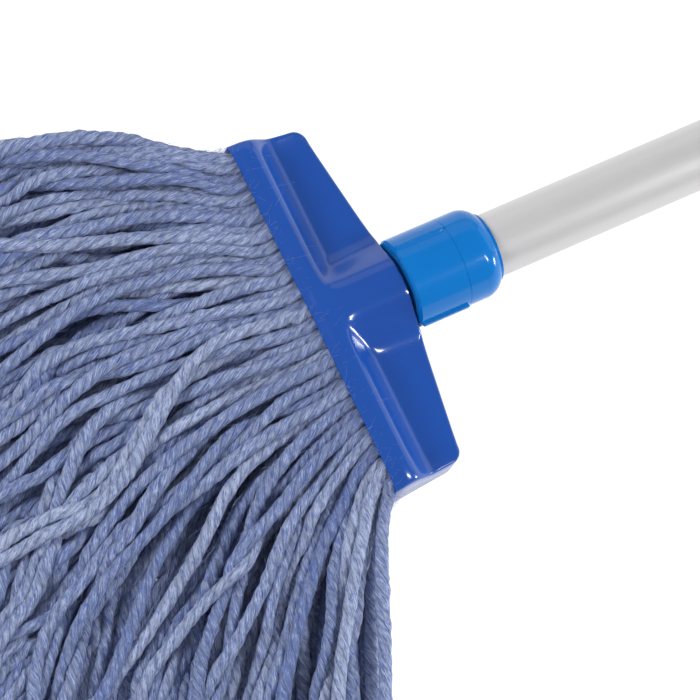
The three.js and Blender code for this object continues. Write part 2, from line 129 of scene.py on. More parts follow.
RIM_ROUND = 0.3 * MM  # cut edges of the sheet

# Details of the collar and the handle
COLLAR_X = NECK_X + GAP
SPIGOT_RADIUS = 9.5 * MM
SPIGOT_BORE = 6.6 * MM
BORE_X = COLLAR_X + 3 * MM
COLLAR_BORE = TUBE_RADIUS + GAP
COLLAR_EDGE = 0.8 * MM  # chamfer at the clip end
COLLAR_LAND = 0.8 * MM  # straight land round the tube
SEAM_GAP = 0.08 * MM
SEAM_EDGE = 0.12 * MM
SHOULDER_RADIUS = 8 * MM
RIB_COUNT = 3
RIB_LENGTH = 21 * MM
RIB_ANGLE = math.radians(-36)  # from straight up towards -Y, first rib
RIB_FLANK = 0.5 * MM  # width of a rib's sloped side
SHOULDER_STEPS = 16
TUBE_WALL = 1.2 * MM
CAP_SKIRT = 26 * MM
CAP_PLUG = 20 * MM
CAP_DOME = 12 * MM
TAB_THICKNESS = 7 * MM
TAB_HALF = 10 * MM
HANG_HOLE = 9 * MM

# Yarn routes, as in the frame: [place across the mouth, heading in degrees, degrees per mm]
FAN = np.array([
    [-1, -50, 0.62],
    [-0.6, -33, 0.36],
    [-0.2, -17, 0.3],
    [0.1, -6, 0.3],
    [0.4, -2, 0.42],
    [0.7, 18, 0.5],
    [0.9, 40, 0.5],
    [1, 58, 0.5],
])
FALL_HEADING = 66
STRAND_LENGTH = 320  # mm
# [distance from the mouth, height above the floor], both in mm
PILE_TOP = np.array([
    [0, 38], [14, 45], [32, 45], [60, 39], [100, 32], [150, 26], [220, 20], [STRAND_LENGTH, 13],
])
PILE_FOOT = np.array([[0, 14.5], [12, 8], [30, 0], [STRAND_LENGTH, 0]])
LOCK_COUNT = 11
CORDS_PER_LOCK = 3  # top strands of each lock that are pieces of their own
IN_CLIP = 8.0  # mm of each strand behind the mouth
# How strands stray from the fan: [distance from bump to bump in mm, degrees]
CLUMP_STRAY = (70, 9)
LONG_STRAY = (48, 6.5)
SHORT_STRAY = (17, 6)
SETTLE_ROUNDS = 60
HAIRS_PER_ROOT = 3


# ---------------------------------------------------------------- colours and nodes

def linear(code):
    """An sRGB hex colour as linear RGBA."""
    channels = [int(code[i:i + 2], 16) / 255 for i in (1, 3, 5)]
    return tuple(c / 12.92 if c <= 0.04045 else ((c + 0.055) / 1.055) ** 2.4 for c in channels) + (1,)


def rgba(colour, share=1):
    """A colour as RGBA, made darker or brighter by a share."""
    return (*(min(1, c * share) for c in colour[:3]), 1)


def add(tree, kind, inputs=None, **settings):
    """One node, with its settings, and with its inputs as values or as sockets to link."""
    made = tree.nodes.new(kind)
    for name, value in settings.items():
        setattr(made, name, value)
    for socket, value in (inputs or {}).items():
        if isinstance(value, bpy.types.NodeSocket):
            tree.links.new(value, made.inputs[socket])
        else:
            made.inputs[socket].default_value = value
    return made


def new_material(name):
    """An empty material and its node tree, with only an output."""
    made = bpy.data.materials.new(name)
    made.use_nodes = True
    made.node_tree.nodes.clear()
    return made, made.node_tree


def surface(tree, inputs):
    """The principled shader with these inputs, joined to the output."""
    shader = add(tree, "ShaderNodeBsdfPrincipled", inputs)
    add(tree, "ShaderNodeOutputMaterial", {"Surface": shader.outputs[0]})
    return shader


def enamel(settings):
    """Stoved enamel on pressed steel: deep even blue under a glassy skin with a faint
    orange peel, so reflections have soft, slightly wavy edges."""
    made, tree = new_material("stoved_enamel")
    place = add(tree, "ShaderNodeTexCoord").outputs["Object"]
    # orange peel about 2.5 mm from crest to crest
    peel = add(tree, "ShaderNodeTexNoise", {"Vector": place, "Scale": 400.0, "Detail": 1.0})
    # dust nibs in the paint about 0.7 mm apart
    nibs = add(tree, "ShaderNodeTexNoise", {"Vector": place, "Scale": 1400.0, "Detail": 2.0})
    # uneven film thickness over about 25 mm
    film = add(tree, "ShaderNodeTexNoise", {"Vector": place, "Scale": 40.0, "Detail": 2.0})
    tone = add(tree, "ShaderNodeMix", {
        0: film.outputs[0], 6: rgba(settings.paint), 7: rgba(settings.paint_thick),
    }, data_type="RGBA")
    height = add(tree, "ShaderNodeMath", {0: nibs.outputs[0], 1: 0.15, 2: peel.outputs[0]},
                 operation="MULTIPLY_ADD")
    bump = add(tree, "ShaderNodeBump", {
        "Height": height.outputs[0], "Strength": 0.04, "Distance": 0.3 * MM,
    })
    rough = add(tree, "ShaderNodeMapRange", {
        0: nibs.outputs[0], 1: 0.3, 2: 0.7, 3: 0.13, 4: 0.2,
    })
    surface(tree, {
        "Base Color": tone.outputs[2],
        "Roughness": rough.outputs[0],
        "Normal": bump.outputs[0],
        "IOR": 1.5,
    })
    return made


def moulded(name, colour, deep, roughness, grain_mm, strength):
    """Injection-moulded plastic: colour with a faint flow mottle and a fine tool texture."""
    made, tree = new_material(name)
    place = add(tree, "ShaderNodeTexCoord").outputs["Object"]
    # flow mottle about 17 mm across
    flow = add(tree, "ShaderNodeTexNoise", {"Vector": place, "Scale": 60.0, "Detail": 2.0})
    grain = add(tree, "ShaderNodeTexNoise", {
        "Vector": place, "Scale": 1000 / grain_mm, "Detail": 2.0,
    })
    tone = add(tree, "ShaderNodeMix", {
        0: flow.outputs[0], 6: rgba(colour), 7: rgba(deep),
    }, data_type="RGBA")
    rough = add(tree, "ShaderNodeMapRange", {
        0: grain.outputs[0], 1: 0.3, 2: 0.7, 3: roughness - 0.05, 4: roughness + 0.05,
    })
    bump = add(tree, "ShaderNodeBump", {
        "Height": grain.outputs[0], "Strength": strength, "Distance": 0.1 * MM,
    })
    surface(tree, {
        "Base Color": tone.outputs[2],
        "Roughness": rough.outputs[0],
        "Normal": bump.outputs[0],
        "IOR": 1.49,
        "Specular IOR Level": 0.3,
    })
    return made


def drawn_metal(name, colour, roughness, line_mm, metallic):
    """Drawn metal: fine lines along the drawing direction that break up the gloss. Under
    an anodic skin much of the light is scattered, which metallic below 1 stands for."""
    made, tree = new_material(name)
    place = add(tree, "ShaderNodeTexCoord").outputs["Object"]
    along = add(tree, "ShaderNodeMapping", {
        "Vector": place,
        "Rotation": (0, math.asin(AXIS.z), 0),
        "Scale": (0.02, 1, 1),
    })
    lines = add(tree, "ShaderNodeTexNoise", {
        "Vector": along.outputs[0], "Scale": 1000 / line_mm, "Detail": 3.0,
    })
    # handling marks about 15 mm long
    marks = add(tree, "ShaderNodeTexNoise", {"Vector": place, "Scale": 70.0, "Detail": 3.0})
    shade = add(tree, "ShaderNodeMapRange", {
        0: lines.outputs[0], 1: 0.3, 2: 0.7, 3: roughness - 0.04, 4: roughness + 0.05,
    })
    rough = add(tree, "ShaderNodeMath", {0: marks.outputs[0], 1: 0.08, 2: shade.outputs[0]},
                operation="MULTIPLY_ADD")
    tone = add(tree, "ShaderNodeMix", {
        0: lines.outputs[0], 6: rgba(colour), 7: rgba(colour, 1.06),
    }, data_type="RGBA")
    bump = add(tree, "ShaderNodeBump", {
        "Height": lines.outputs[0], "Strength": 0.06, "Distance": 0.05 * MM,
    })
    surface(tree, {
        "Base Color": tone.outputs[2],
        "Metallic": metallic,
        "Roughness": rough.outputs[0],
        "Normal": bump.outputs[0],
    })
    return made


def spun_yarn(settings):
    """Twisted cotton and viscose yarn in a blue melange: pale and deep blue fibres lie
    along the plies, painted shade darkens the grooves between the plies, and the nap scatters light."""
    made, tree = new_material("melange_yarn")
    # UV: across = ply count times the turn round the strand, along = mm down the strand
    uv = add(tree, "ShaderNodeUVMap", uv_map="strand").outputs[0]
    split = add(tree, "ShaderNodeSeparateXYZ", {0: uv})
    tone = add(tree, "ShaderNodeAttribute", attribute_name="tone")
    # fibre bundles about 0.5 mm wide and 5 mm long
    bundle_place = add(tree, "ShaderNodeMapping", {"Vector": uv, "Scale": (7.0, 0.3, 1)})
    bundles = add(tree, "ShaderNodeTexNoise", {
        "Vector": bundle_place.outputs[0], "Scale": 1.0, "Detail": 3.0, "Roughness": 0.65,
    })
    # single deep blue fibres, 1 to 3 mm long
    fleck_place = add(tree, "ShaderNodeMapping", {
        "Vector": uv, "Scale": (8.0, 0.4, 1), "Location": (3.1, 7.7, 0),
    })
    flecks = add(tree, "ShaderNodeTexNoise", {
        "Vector": fleck_place.outputs[0], "Scale": 1.0, "Detail": 2.0, "Roughness": 0.5,
    })
    shift = add(tree, "ShaderNodeMath", {
        0: tone.outputs["Fac"], 1: 0.45, 2: bundles.outputs[0],
    }, operation="MULTIPLY_ADD")
    pale_share = add(tree, "ShaderNodeMapRange", {0: shift.outputs[0], 1: 0.6, 2: 0.86})
    ground = add(tree, "ShaderNodeMix", {
        0: pale_share.outputs[0], 6: rgba(settings.ground), 7: rgba(settings.pale),
    }, data_type="RGBA")
    # paler and greyer stretches where one fibre lot runs out, about 12 mm long
    lot_place = add(tree, "ShaderNodeMapping", {"Vector": uv, "Scale": (0.8, 0.09, 1)})
    lots = add(tree, "ShaderNodeTexNoise", {
        "Vector": lot_place.outputs[0], "Scale": 1.0, "Detail": 2.0,
    })
    lot_share = add(tree, "ShaderNodeMapRange", {0: lots.outputs[0], 1: 0.45, 2: 0.65, 3: 0.0, 4: 0.5})
    ground = add(tree, "ShaderNodeMix", {
        0: lot_share.outputs[0], 6: ground.outputs[2], 7: rgba(settings.grey),
    }, data_type="RGBA")
    fleck_share = add(tree, "ShaderNodeMapRange", {
        0: flecks.outputs[0], 1: 0.55, 2: 0.68, 3: 0.0, 4: 0.85,
    })
    flecked = add(tree, "ShaderNodeMix", {
        0: fleck_share.outputs[0], 6: ground.outputs[2], 7: rgba(settings.fleck),
    }, data_type="RGBA")
    # the plies are spun unevenly: their edges wander over about 6 mm
    uneven_place = add(tree, "ShaderNodeMapping", {"Vector": uv, "Scale": (1.1, 0.16, 1)})
    uneven = add(tree, "ShaderNodeTexNoise", {
        "Vector": uneven_place.outputs[0], "Scale": 1.0, "Detail": 3.0, "Roughness": 0.6,
    })
    shifted = add(tree, "ShaderNodeMath", {0: uneven.outputs[0], 1: 1.3, 2: split.outputs[0]},
                  operation="MULTIPLY_ADD")
    # distance from the middle of the ply, 0 there and 0.5 at the groove
    turn = add(tree, "ShaderNodeMath", {0: shifted.outputs[0]}, operation="FRACT")
    aside = add(tree, "ShaderNodeMath", {0: turn.outputs[0], 1: 0.5}, operation="SUBTRACT")
    edge = add(tree, "ShaderNodeMath", {0: aside.outputs[0]}, operation="ABSOLUTE")
    # painted shade: the colour darkens towards the grooves between the plies, where the plies shade each
    # other; the same mask also sinks the bump there
    groove = add(tree, "ShaderNodeMapRange", {
        0: edge.outputs[0], 1: 0.25, 2: 0.5, 3: 0.0, 4: 0.42,
    }, interpolation_type="SMOOTHSTEP")
    # mixes the painted groove shade into the yarn's colour
    shaded = add(tree, "ShaderNodeMix", {
        0: groove.outputs[0], 6: flecked.outputs[2], 7: rgba(settings.shade),
    }, data_type="RGBA")
    relief = add(tree, "ShaderNodeMath", {
        0: groove.outputs[0], 1: -1.0, 2: bundles.outputs[0],
    }, operation="MULTIPLY_ADD")
    bump = add(tree, "ShaderNodeBump", {
        "Height": relief.outputs[0], "Strength": 0.9, "Distance": 0.6 * MM,
    })
    surface(tree, {
        "Base Color": shaded.outputs[2],
        "Roughness": 0.92,
        "Normal": bump.outputs[0],
        "Specular IOR Level": 0.25,
        "Sheen Weight": 0.25,
        "Sheen Roughness": 0.4,
        "Sheen Tint": rgba(settings.pale),
    })
    return made


def fibre_fuzz(colour):
    """Single cotton fibres: pale, matt and a little see-through at their thin tips."""
    made, tree = new_material("loose_cotton_fibre")
    place = add(tree, "ShaderNodeTexCoord").outputs["Object"]
    # one fibre differs from the next, over about 3 mm
    patch = add(tree, "ShaderNodeTexNoise", {"Vector": place, "Scale": 350.0, "Detail": 1.0})
    tone = add(tree, "ShaderNodeMix", {
        0: patch.outputs[0], 6: rgba(colour, 0.7), 7: rgba(colour),
    }, data_type="RGBA")
    surface(tree, {
        "Base Color": tone.outputs[2],
        "Roughness": 0.9,
        "Specular IOR Level": 0.2,
        "Subsurface Weight": 0.3,
        "Subsurface Radius": (0.2, 0.25, 0.35),
        "Subsurface Scale": 0.5 * MM,
    })
    return made


def lit_floor(colour, glow):
    """White acrylic lit from below: an even white that carries no shadows."""
    made, tree = new_material("lit_acrylic")
    place = add(tree, "ShaderNodeTexCoord").outputs["Object"]
    # the cast sheet's tone drifts over about 300 mm
    cloud = add(tree, "ShaderNodeTexNoise", {"Vector": place, "Scale": 3.0})
    tone = add(tree, "ShaderNodeMix", {
        0: cloud.outputs[0], 6: rgba(colour), 7: rgba(colour, 0.985),
    }, data_type="RGBA")
    surface(tree, {
        "Base Color": tone.outputs[2],
        "Roughness": 0.9,
        "Specular IOR Level": 0.1,
        "Emission Color": (1, 1, 1, 1),
        "Emission Strength": glow,
    })
    return made


# ---------------------------------------------------------------- mesh helpers

def finished(name, bm, material, smooth_angle=40):
    """A mesh object from a bmesh, shaded smooth up to an angle in degrees."""
    mesh = bpy.data.meshes.new(name)
    bm.to_mesh(mesh)
    bm.free()
    mesh.materials.append(material)
    mesh.shade_smooth()
    mesh.set_sharp_from_angle(angle=math.radians(smooth_angle))
    made = bpy.data.objects.new(name, mesh)
    bpy.context.scene.collection.objects.link(made)
    return made


def profile_edges(bm, points):
    """The closed outline of a turned part, as [along the axis, radius]."""
    corners = [bm.verts.new((x, 0, radius)) for x, radius in points]
    return [bm.edges.new((a, b)) for a, b in zip(corners, corners[1:] + corners[:1])]


def spun(bm, edges, steps):
    """Turns an outline once round the handle axis."""
    corners = list({v for e in edges for v in e.verts})
    bmesh.ops.spin(bm, geom=corners + list(edges), cent=(0, 0, 0), axis=(1, 0, 0),
                   angle=2 * math.pi, steps=steps, use_merge=True)
    bmesh.ops.remove_doubles(bm, verts=bm.verts, dist=1e-7)
    bmesh.ops.recalc_face_normals(bm, faces=bm.faces)


def sharp_edges(bm, angle):
    """Edges whose two faces meet at more than an angle."""
    return [e for e in bm.edges if e.is_manifold and e.calc_face_angle() > math.radians(angle)]


def bevelled(bm, edges, width, segments):
    """Rounds these edges."""
    bmesh.ops.bevel(bm, geom=edges, affect="EDGES", offset=width, offset_type="OFFSET",
                    segments=segments, profile=0.5, material=-1, clamp_overlap=True)


def lay_down(bm):
    """Moves a shape from the frame along the handle to where it lies on the floor."""
    bmesh.ops.transform(bm, matrix=LAID, verts=bm.verts)


def smooth_step(value):
    """0 up to 0, 1 from 1 on, and an even S between them."""
    value = min(max(value, 0.0), 1.0)
    return value * value * (3 - 2 * value)


def soft_max(a, b, radius):
    """The larger of two values, with the corner between them rounded."""
    return (a + b + math.sqrt((a - b) ** 2 + radius ** 2)) / 2


# ---------------------------------------------------------------- yarn clip

def ramp(value, rounding):
    """0 before 0, 1 after 1, and straight between them, with its two corners rounded."""
    low = soft_max(value, 0, rounding)
    return -soft_max(-low, -1, rounding)


def clip_height(x, y):
    """Outside of the pressed front plate at x up the clip and y across it."""
    fall = ramp((x - STEP_START) / STEP_LENGTH, STEP_ROUND)
    tuck = LIP_TUCK * (1 - smooth_step(x / (LIP_DEPTH * 0.65)))
    outer = HALF_MOUTH - abs(y)
    lip = LIP_Z - LIP_END_DROP * (1 - smooth_step(outer / LIP_END_REACH))
    wing = WING_Z + WING_END_RISE * (1 - smooth_step(outer / WING_END_REACH))
    plate = lip - tuck - (lip - wing) * fall
    crest = BOSS_Z - BOSS_FALL * (NECK_X - x) / (NECK_X - LIP_DEPTH)
    slope = (BOSS_Z - WING_Z) / (NECK_HALF - BOSS_TOP_HALF)
    flank = crest - (abs(y) - BOSS_TOP_HALF) * slope
    boss = -soft_max(-crest, -flank, BOSS_CROWN)
    high = soft_max(plate, boss, BOSS_ROOT * smooth_step(x / LIP_DEPTH) + MM / 100)
    limit = LIP_Z - tuck + (BOSS_Z - LIP_Z) * smooth_step((x - LIP_DEPTH) / BOSS_RUN)
    return -soft_max(-high, -limit, BOSS_BROW)


def clip_front(material):
    """The front plate: a blank with rounded corners and folded sides, pressed to form."""
    bm = bmesh.new()
    half_end = HALF_MOUTH - END_LEAN
    ring = [
        (0, -HALF_MOUTH), (CORNER_X, -half_end), (NECK_X, -NECK_HALF),
        (NECK_X, NECK_HALF), (CORNER_X, half_end), (0, HALF_MOUTH),
    ]
    corners = [bm.verts.new((x, y, 0)) for x, y in ring]
    bm.faces.new(corners)
    bmesh.ops.bevel(bm, geom=[corners[1], corners[4]], affect="VERTICES", offset=CORNER_RADIUS,
                    offset_type="OFFSET", segments=6, profile=0.5, material=-1)
    # all edges fold down but those of the mouth and the neck, which stay open
    mouth_and_neck = {v for v in bm.verts if v.co.x < MM or v.co.x > NECK_X - MM / 10}
    fold = [e for e in bm.edges if not mouth_and_neck.issuperset(e.verts)]
    side = bmesh.ops.extrude_edge_only(bm, edges=fold)
    lower = [g for g in side["geom"] if isinstance(g, bmesh.types.BMVert)]
    bmesh.ops.translate(bm, verts=lower, vec=(0, 0, -FOLD_DEPTH))
    bevelled(bm, [e for e in fold if e.is_valid], BEND_RADIUS, 4)
    # the sides' lower edges go far down for now, which marks them for the pressing below
    for v in bm.verts:
        if v.co.z < -0.9 * FOLD_DEPTH:
            v.co.z = -1
    # cuts 0.7 mm apart over the lip and the step, and 1.6 mm apart over the wings
    steps_x = [0.7 * MM * i for i in range(1, 28)] + [NECK_X - 1.6 * MM * i for i in range(1, 13)]
    # and across: 1 mm apart over the boss, and 5 mm apart beside it
    steps_y = [i * MM for i in range(-24, 25)]
    steps_y += [side * (24 + 5 * i) * MM for i in range(1, 10) for side in (-1, 1)]
    for x in steps_x:
        bmesh.ops.bisect_plane(bm, geom=bm.verts[:] + bm.edges[:] + bm.faces[:], dist=1e-6,
                               plane_co=(x, 0, 0), plane_no=(1, 0, 0))
    for y in steps_y:
        bmesh.ops.bisect_plane(bm, geom=bm.verts[:] + bm.edges[:] + bm.faces[:], dist=1e-6,
                               plane_co=(0, y, 0), plane_no=(0, 1, 0))
    for v in bm.verts:
        hollow = NECK_HOLLOW * max(0, 1 - (v.co.y / NECK_HALF) ** 2)
        reach = smooth_step((v.co.x - LIP_DEPTH - STEP_LENGTH) / (NECK_X - LIP_DEPTH - STEP_LENGTH))
        height = clip_height(v.co.x, v.co.y)
        v.co.z = BACK_Z if v.co.z < -0.5 else v.co.z + height
        v.co.x -= hollow * reach
    bmesh.ops.recalc_face_normals(bm, faces=bm.faces)
    top = max(bm.faces, key=lambda f: f.calc_area())
    if top.normal.z < 0:
        bmesh.ops.reverse_faces(bm, faces=bm.faces)
    bmesh.ops.solidify(bm, geom=bm.faces, thickness=SHEET)
    bmesh.ops.recalc_face_normals(bm, faces=bm.faces)
    bevelled(bm, sharp_edges(bm, 65), RIM_ROUND, 2)
    lay_down(bm)
    return finished("clip_shell", bm, material, 50)


# ---------------------------------------------------------------- collar and handle

def rib_rise(x, turn, settings):
    """How far a rib stands proud at x along the collar and at an angle round it."""
    half = settings.rib_width / 2
    start = COLLAR_X + COLLAR_EDGE + half
    end = COLLAR_X + RIB_LENGTH - half
    best = 0
    for i in range(RIB_COUNT):
        middle = RIB_ANGLE + i * 2 * math.pi / RIB_COUNT
        aside = math.remainder(turn - middle, 2 * math.pi) * COLLAR_RADIUS
        away = math.hypot(x - min(max(x, start), end), aside)
        best = max(best, smooth_step((half + 0.3 * RIB_FLANK - away) / RIB_FLANK))
    return settings.rib_height * best


def collar_nut(material, settings):
    """The gripping half of the collar with its spigot and three ribs."""
    bm = bmesh.new()
    seam = NUT_HIGH.x
    profile = profile_edges(bm, [
        (NUT_LOW.x, SPIGOT_BORE), (NUT_LOW.x, SPIGOT_RADIUS), (COLLAR_X, SPIGOT_RADIUS),
        (COLLAR_X, COLLAR_RADIUS - COLLAR_EDGE), (COLLAR_X + COLLAR_EDGE, COLLAR_RADIUS),
        (seam, COLLAR_RADIUS), (seam, COLLAR_BORE), (BORE_X, COLLAR_BORE), (BORE_X, SPIGOT_BORE),
    ])
    bmesh.ops.subdivide_edges(bm, edges=[profile[4]], cuts=47)
    spun(bm, bm.edges[:], 288)
    for v in bm.verts:
        radius = math.hypot(v.co.y, v.co.z)
        if radius > COLLAR_RADIUS - 0.01 * MM:
            rise = rib_rise(v.co.x, math.atan2(-v.co.y, v.co.z), settings)
            v.co.y *= 1 + rise / radius
            v.co.z *= 1 + rise / radius
    lay_down(bm)
    return finished("collar_grip", bm, material, 35)


def collar_cap(material):
    """The closing half of the collar with its rounded shoulder."""
    bm = bmesh.new()
    seam = NUT_HIGH.x + SEAM_GAP
    end = CAP_HIGH.x
    land = COLLAR_BORE + COLLAR_LAND
    sweep = math.acos(1 - (COLLAR_RADIUS - land) / SHOULDER_RADIUS)
    angles = [sweep * i / SHOULDER_STEPS for i in range(SHOULDER_STEPS + 1)]
    shoulder = [
        (end - SHOULDER_RADIUS + SHOULDER_RADIUS * math.sin(angle),
         COLLAR_RADIUS - SHOULDER_RADIUS * (1 - math.cos(angle)))
        for angle in angles
    ]
    profile_edges(bm, [
        (seam, COLLAR_BORE), (seam, COLLAR_RADIUS - SEAM_EDGE), (seam + SEAM_EDGE, COLLAR_RADIUS),
        *shoulder, (end - 0.3 * MM, land), (end, land - 0.3 * MM), (end, COLLAR_BORE),
    ])
    spun(bm, bm.edges[:], 144)
    lay_down(bm)
    return finished("collar_shoulder", bm, material, 35)


def handle_tube(material):
    """The drawn tube, with its two ends broken."""
    bm = bmesh.new()
    profile_edges(bm, [
        (TUBE_LOW.x, TUBE_RADIUS - TUBE_WALL), (TUBE_LOW.x, TUBE_RADIUS),
        (TUBE_HIGH.x, TUBE_RADIUS), (TUBE_HIGH.x, TUBE_RADIUS - TUBE_WALL),
    ])
    spun(bm, bm.edges[:], 160)
    bevelled(bm, sharp_edges(bm, 60), 0.25 * MM, 2)
    lay_down(bm)
    return finished("tube_skin", bm, material, 35)


def cap_body(material):
    """The skirted dome of the hanging cap, with its plug inside the tube."""
    bm = bmesh.new()
    face = TUBE_HIGH.x + GAP
    sleeve = TUBE_RADIUS + GAP
    plug = TUBE_RADIUS - TUBE_WALL - GAP
    quarter = [math.pi / 2 * i / 12 for i in range(12)]
    dome = [(face + CAP_DOME * math.sin(a), CAP_RADIUS * math.cos(a)) for a in quarter]
    profile = profile_edges(bm, [
        (face + CAP_DOME, 0.0), (TUBE_HIGH.x - CAP_PLUG, 0.0), (TUBE_HIGH.x - CAP_PLUG, plug),
        (face, plug), (face, sleeve), (TUBE_HIGH.x - CAP_SKIRT, sleeve),
        (TUBE_HIGH.x - CAP_SKIRT, CAP_RADIUS), *dome,
    ])
    bm.edges.remove(profile[0])
    spun(bm, bm.edges[:], 96)
    return finished("hang_cap", bm, material)


def tab_blank(material, hang):
    """The flat tab, round about the hole and run back into the dome."""
    bm = bmesh.new()
    bmesh.ops.create_circle(bm, cap_ends=True, segments=64, radius=TAB_HALF,
                            matrix=Matrix.Translation((hang, 0, -TAB_THICKNESS / 2)))
    for v in bm.verts:
        if v.co.x < hang - 1e-6:
            v.co.x = TUBE_HIGH.x + GAP
    flat = bmesh.ops.extrude_face_region(bm, geom=bm.faces[:])
    bmesh.ops.translate(bm, vec=(0, 0, TAB_THICKNESS),
                        verts=[g for g in flat["geom"] if isinstance(g, bmesh.types.BMVert)])
    bmesh.ops.remove_doubles(bm, verts=bm.verts, dist=1e-7)
    bmesh.ops.recalc_face_normals(bm, faces=bm.faces)
    return finished("tab_blank", bm, material)


def hole_blank(material, hang):
    """The round bar that cuts the hanging hole."""
    bm = bmesh.new()
    bmesh.ops.create_cone(bm, cap_ends=True, segments=64, radius1=HANG_HOLE / 2,
                          radius2=HANG_HOLE / 2, depth=3 * TAB_THICKNESS,
                          matrix=Matrix.Translation((hang, 0, 0)))
    return finished("hole_blank", bm, material)


def end_cap(material):
    """The hanging cap: a skirted dome and a flat tab with a hole, moulded in one."""
    body = cap_body(material)
    hang = END_HIGH.x - TAB_HALF
    tab = tab_blank(material, hang)
    hole = hole_blank(material, hang)
    for cutter, how in ((tab, "UNION"), (hole, "DIFFERENCE")):
        cut = body.modifiers.new(how, "BOOLEAN")
        cut.object = cutter
        cut.operation = how
        cut.solver = "EXACT"
    # the moulded fillets come from a fine remesh that is then relaxed
    remesh = body.modifiers.new("remesh", "REMESH")
    remesh.mode = "VOXEL"
    remesh.voxel_size = 0.55 * MM
    relax = body.modifiers.new("relax", "SMOOTH")
    relax.factor = 0.5
    relax.iterations = 6
    graph = bpy.context.evaluated_depsgraph_get()
    moulding = bpy.data.meshes.new_from_object(body.evaluated_get(graph))
    body.modifiers.clear()
    body.data = moulding
    moulding.transform(LAID)
    moulding.shade_smooth()
    for blank in (tab, hole):
        bpy.data.objects.remove(blank)
    return body


# ---------------------------------------------------------------- yarn routes

def slow_noise(rng, rows, at, wave):
    """A smooth random curve for each row, about one unit high, with a bump every wave."""
    knots = np.arange(-1, at[-1] / wave + 3)
    heights = rng.normal(0, 1, (rows, len(knots)))
    i = (at / wave).astype(int)
    t = at / wave - i
    h0, h1, h2, h3 = (heights[:, i + k] for k in range(4))
    return 0.5 * (2 * h1 + (h2 - h0) * t + (2 * h0 - 5 * h1 + 4 * h2 - h3) * t ** 2
                  + (3 * h1 - h0 - 3 * h2 + h3) * t ** 3)


def strand_plan(settings):
    """The planned course of every strand: an array of strands by points by XYZ, in mm."""
    count, spacing = settings.strand_count, settings.point_spacing
    rng = np.random.default_rng(settings.seed)
    place = -1 + 2 * (np.arange(count) + 0.5) / count
    # height in the pile, 0 to 1: golden steps keep neighbours at different heights
    layer = (np.arange(count) * 0.6180339887) % 1
    heading = np.interp(place, FAN[:, 0], FAN[:, 1])
    settle = FALL_HEADING - heading
    rate = np.interp(place, FAN[:, 0], FAN[:, 2]) / settle
    along = np.arange(0, STRAND_LENGTH + 1.0, 1.0)
    grown = np.clip(along / 70, 0, 1)
    # strands of one clump stray together, and each strays a little by itself
    clump = (np.arange(count) + 5 * layer * rng.normal(0, 1, count)) / settings.clump
    clump = np.clip(clump, 0, None).astype(int)
    together = slow_noise(rng, clump.max() + 1, along, CLUMP_STRAY[0])[clump] * CLUMP_STRAY[1]
    alone = slow_noise(rng, count, along, LONG_STRAY[0]) * LONG_STRAY[1]
    alone += slow_noise(rng, count, along, SHORT_STRAY[0]) * SHORT_STRAY[1]
    # the outer strands stray less
    inward = np.clip(1.6 - 1.3 * np.abs(place), 0.3, 1)[:, None]
    swing = (together + alone) * settings.stray * grown * inward
    turn = np.radians(FALL_HEADING - settle[:, None] * np.exp(-rate[:, None] * along) + swing)
    x = MOUTH.x / MM - 0.3 - np.cumsum(np.cos(turn), axis=1)
    radius = settings.strand_diameter / MM / 2
    half_row = (HALF_MOUTH - SHEET) / MM - radius * 1.25
    y = -place[:, None] * half_row - np.cumsum(np.sin(turn), axis=1)
    foot = np.interp(along, PILE_FOOT[:, 0], PILE_FOOT[:, 1]) + radius
    top = np.interp(along, PILE_TOP[:, 0], PILE_TOP[:, 1]) - radius
    depth = np.clip(layer[:, None] + slow_noise(rng, count, along, 60) * 0.16 * grown, 0, 1)
    z = foot + (top - foot) * depth
    # the upper strands swell over the lip near the middle of the mouth
    swell = np.clip((layer - 0.66) / 0.2, 0, 1) * np.clip(1.5 - 1.7 * np.abs(place - 0.03), 0, 1)
    z[:, :16] += swell[:, None] * 4.2 * np.sin(np.linspace(0, math.pi, 16))
    # inside the mouth the strands run straight back to the cross wire
    back = foot[0] + (z[:, 0] - foot[0]) * 0.9
    first = np.stack([np.full(count, MOUTH.x / MM + IN_CLIP), y[:, 0], back], axis=1)
    line = np.concatenate([first[:, None], np.stack([x, y, z], axis=2)], axis=1)
    points = int(round((STRAND_LENGTH + IN_CLIP) / spacing)) + 1
    return np.stack([evenly(one, points) for one in line])


def evenly(line, count):
    """The line again with a number of points at even distances."""
    reach = np.concatenate([[0], np.cumsum(np.linalg.norm(np.diff(line, axis=0), axis=1))])
    at = np.linspace(0, reach[-1], count)
    return np.stack([np.interp(at, reach, line[:, k]) for k in range(3)], axis=1)


def near_pairs(points, strand_of, index_of, reach):
    """Pairs of points nearer than reach that aren't neighbours on one strand."""
    tree = KDTree(len(points))
    for i, p in enumerate(points):
        tree.insert(p, i)
    tree.balance()
    pairs = []
    for i, p in enumerate(points):
        for _, j, _ in tree.find_range(p, reach):
            if j > i and (strand_of[i] != strand_of[j] or index_of[j] - index_of[i] > 4):
                pairs.append((i, j))
    return np.array(pairs, int).reshape(-1, 2)


